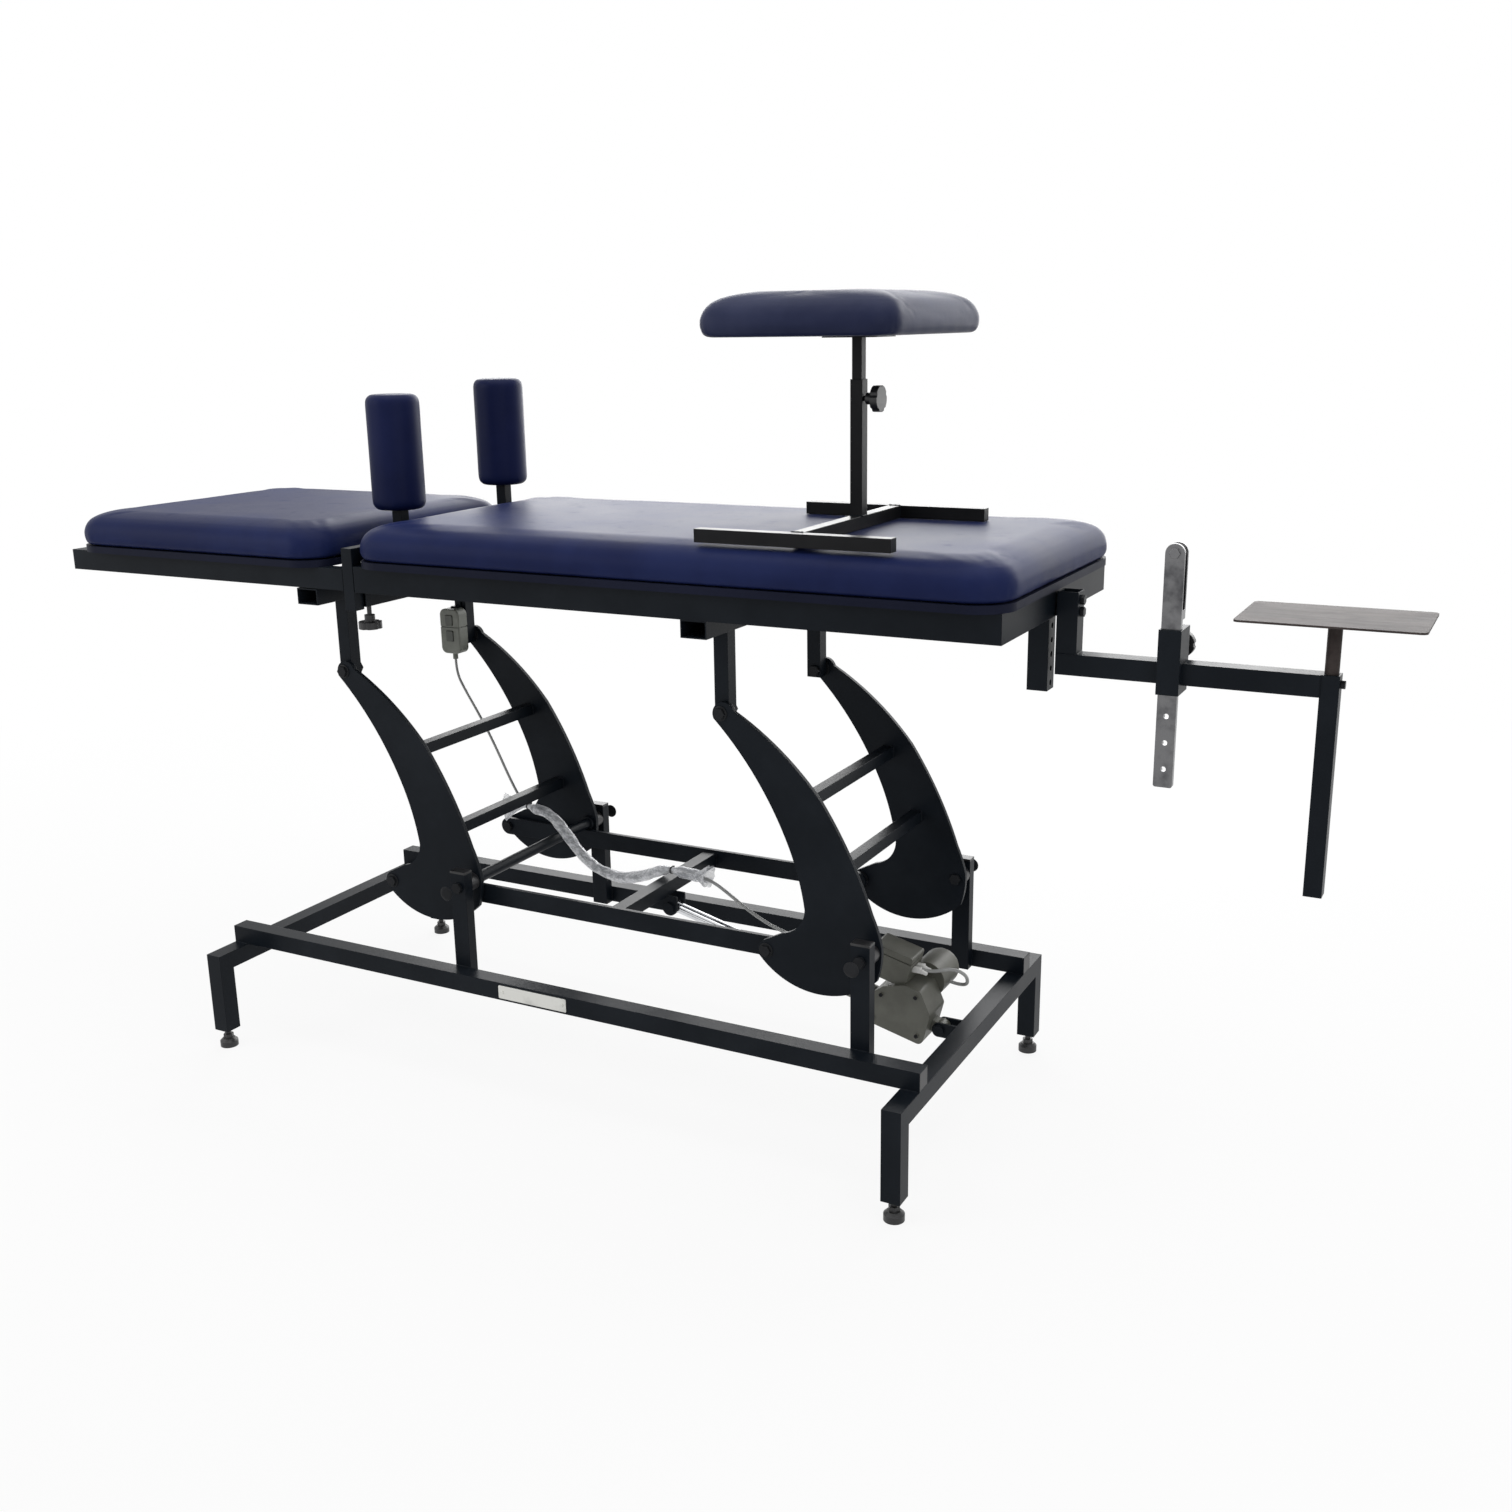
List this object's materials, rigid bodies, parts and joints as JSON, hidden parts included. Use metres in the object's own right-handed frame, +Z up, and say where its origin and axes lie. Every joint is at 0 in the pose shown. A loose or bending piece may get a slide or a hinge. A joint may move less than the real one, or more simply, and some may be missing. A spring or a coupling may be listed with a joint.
{
  "type": "traction table",
  "caption": "Height-adjustable physiotherapy traction couch: parallelogram lift, sliding head section, armpit rolls, leg stool and pulley arm with a shelf.",
  "frame": {"origin": "centre of the box around the whole part, on the floor", "axes": "+X along the couch towards the pulley arm and shelf, +Y towards the far side, +Z up"},
  "size_m": [2.3516, 0.671, 1.356],
  "materials": {
    "black_steel": "satin black powder coat",
    "zinc_steel": "bright zinc plated",
    "black_plastic": "moulded black plastic",
    "blue_vinyl": "navy upholstery vinyl, fine grain",
    "plywood": "dark stained board",
    "grey_plastic": "warm grey housing",
    "clear_sleeve": "milky soft plastic",
    "grey_cable": "light grey cable jacket",
    "silver_plate": "bare brushed plate",
    "nylon": "black nylon bush"
  },
  "bodies": {
    "floor_base": {"left_floor_frame": "black_steel", "right_floor_frame": "black_steel", "side_rails": "black_steel", "pivot_posts": "black_steel", "tube_caps": "black_plastic", "pivot_spacers": "nylon", "pivot_bolts": "zinc_steel", "nameplate": "silver_plate", "actuator_bracket": "black_steel"},
    "near_left_foot": {"near_left_foot": "black_plastic"},
    "far_left_foot": {"far_left_foot": "black_plastic"},
    "near_right_foot": {"near_right_foot": "black_plastic"},
    "far_right_foot": {"far_right_foot": "black_plastic"},
    "left_arms": {"left_sabre_plates": "black_steel", "left_cross_rods": "black_steel", "left_arm_bolts": "zinc_steel"},
    "right_arms": {"right_sabre_plates": "black_steel", "right_cross_rods": "black_steel", "right_arm_bolts": "zinc_steel"},
    "tie_frame": {"tie_bars": "black_steel", "rod_clevis": "black_steel", "cable_sleeve": "clear_sleeve"},
    "actuator_rod": {"actuator_rod": "zinc_steel"},
    "actuator": {"actuator_tube": "grey_plastic", "actuator_gearbox": "grey_plastic", "actuator_motor": "grey_plastic", "control_box": "grey_plastic", "actuator_leads": "grey_cable"},
    "couch_top": {"underframe": "black_steel", "hanger_tubes": "black_steel", "main_frame": "black_steel", "main_board": "plywood", "main_cushion": "blue_vinyl", "armpit_bridge": "black_steel", "traction_guide": "black_steel", "arm_mount_bolts": "zinc_steel", "traction_arm": "black_steel", "handset": "grey_plastic", "handset_hook": "black_steel", "handset_cord": "grey_cable"},
    "head_section": {"head_frame": "black_steel", "head_board": "plywood", "head_cushion": "blue_vinyl"},
    "head_lock_knob": {"head_lock_knob": "black_plastic"},
    "near_armpit_post": {"near_armpit_post": "black_steel", "near_armpit_roll": "blue_vinyl"},
    "far_armpit_post": {"far_armpit_post": "black_steel", "far_armpit_roll": "blue_vinyl"},
    "leg_stool": {"stool_base": "black_steel"},
    "stool_post": {"stool_post": "black_steel", "stool_pad": "blue_vinyl"},
    "stool_knob": {"stool_knob": "black_plastic"},
    "pulley_slider": {"pulley_slider": "black_steel"},
    "slider_knob": {"slider_knob": "black_plastic"},
    "pulley_bar": {"pulley_bar": "zinc_steel"},
    "pulley_wheel": {"pulley_wheel": "nylon"},
    "shelf": {"shelf": "zinc_steel"},
    "shelf_clamp_screw": {"shelf_clamp_screw": "zinc_steel"},
    "handset_up_button": {"handset_up_button": "black_plastic"},
    "handset_down_button": {"handset_down_button": "black_plastic"}
  },
  "joints": [
    {"name": "lift", "type": "hinge", "parent": "floor_base", "child": "left_arms", "pos_m": [-0.33325, 0, 0.367], "axis": [0, 1, 0], "range_deg": [-58, 0], "deforming": ["cable_sleeve", "actuator_leads", "handset_cord"]},
    {"name": "right_arm_turn", "type": "hinge", "parent": "floor_base", "child": "right_arms", "pos_m": [0.43375, 0, 0.367], "axis": [0, 1, 0], "range_deg": [-58, 0]},
    {"name": "tie_turn", "type": "hinge", "parent": "left_arms", "child": "tie_frame", "pos_m": [-0.51625, 0, 0.339], "axis": [0, 1, 0], "range_deg": [0, 58]},
    {"name": "top_turn", "type": "hinge", "parent": "left_arms", "child": "couch_top", "pos_m": [-0.59125, 0, 0.723], "axis": [0, 1, 0], "range_deg": [0, 58]},
    {"name": "actuator_tilt", "type": "hinge", "parent": "floor_base", "child": "actuator", "pos_m": [0.48175, 0, 0.172], "axis": [0, 1, 0], "range_deg": [-16.9, 0.5]},
    {"name": "rod_tilt", "type": "hinge", "parent": "tie_frame", "child": "actuator_rod", "pos_m": [-0.03325, 0, 0.305], "axis": [0, 1, 0], "range_deg": [-16.9, 0.5]},
    {"name": "near_left_foot_screw", "type": "slide", "parent": "floor_base", "child": "near_left_foot", "axis": [0, 0, 1], "range_m": [0, 0.008]},
    {"name": "far_left_foot_screw", "type": "slide", "parent": "floor_base", "child": "far_left_foot", "axis": [0, 0, 1], "range_m": [0, 0.008]},
    {"name": "near_right_foot_screw", "type": "slide", "parent": "floor_base", "child": "near_right_foot", "axis": [0, 0, 1], "range_m": [0, 0.008]},
    {"name": "far_right_foot_screw", "type": "slide", "parent": "floor_base", "child": "far_right_foot", "axis": [0, 0, 1], "range_m": [0, 0.008]},
    {"name": "head_slide", "type": "slide", "parent": "couch_top", "child": "head_section", "axis": [-1, 0, 0], "range_m": [0, 0.1]},
    {"name": "head_lock_turn", "type": "hinge", "parent": "couch_top", "child": "head_lock_knob", "pos_m": [-0.50305, -0.208, 0.853], "axis": [0, 0, 1], "range_deg": [-180, 180]},
    {"name": "near_armpit_slide", "type": "slide", "parent": "couch_top", "child": "near_armpit_post", "axis": [0, 1, 0], "range_m": [-0.09, 0.06]},
    {"name": "far_armpit_slide", "type": "slide", "parent": "couch_top", "child": "far_armpit_post", "axis": [0, 1, 0], "range_m": [-0.13, 0.01]},
    {"name": "stool_lift_off", "type": "slide", "parent": "couch_top", "child": "leg_stool", "axis": [0, 0, 1], "range_m": [0, 0.2]},
    {"name": "stool_height", "type": "slide", "parent": "leg_stool", "child": "stool_post", "axis": [0, 0, 1], "range_m": [-0.045, 0.085]},
    {"name": "stool_knob_turn", "type": "hinge", "parent": "leg_stool", "child": "stool_knob", "pos_m": [0.33375, -0.014, 1.197], "axis": [1, 0, 0], "range_deg": [-180, 180]},
    {"name": "slider_travel", "type": "slide", "parent": "couch_top", "child": "pulley_slider", "axis": [1, 0, 0], "range_m": [-0.09, 0.074]},
    {"name": "slider_knob_turn", "type": "hinge", "parent": "pulley_slider", "child": "slider_knob", "pos_m": [0.83075, 0, 0.843], "axis": [0, 1, 0], "range_deg": [-180, 180]},
    {"name": "pulley_height", "type": "slide", "parent": "pulley_slider", "child": "pulley_bar", "axis": [0, 0, 1], "range_m": [-0.013, 0.08]},
    {"name": "pulley_spin", "type": "hinge", "parent": "pulley_bar", "child": "pulley_wheel", "pos_m": [0.83075, -0.0168, 0.987], "axis": [0, 1, 0], "continuous": true},
    {"name": "shelf_height", "type": "slide", "parent": "couch_top", "child": "shelf", "axis": [0, 0, 1], "range_m": [-0.055, 0.09]},
    {"name": "shelf_clamp_turn", "type": "hinge", "parent": "couch_top", "child": "shelf_clamp_screw", "pos_m": [1.06375, 0, 0.812], "axis": [1, 0, 0], "range_deg": [-180, 180]},
    {"name": "up_button_press", "type": "slide", "parent": "couch_top", "child": "handset_up_button", "axis": [0, 1, 0], "range_m": [0, 0.0012], "stiffness_N_per_m": 600},
    {"name": "down_button_press", "type": "slide", "parent": "couch_top", "child": "handset_down_button", "axis": [0, 1, 0], "range_m": [0, 0.0012], "stiffness_N_per_m": 600}
  ],
  "couplings": [
    {"joint": "right_arm_turn", "follows": "lift", "ratio": 1},
    {"joint": "tie_turn", "follows": "lift", "ratio": -1},
    {"joint": "top_turn", "follows": "lift", "ratio": -1},
    {"joint": "actuator_tilt", "follows": "lift", "ratio": 0.2833},
    {"joint": "rod_tilt", "follows": "lift", "ratio": 0.2833}
  ]
}
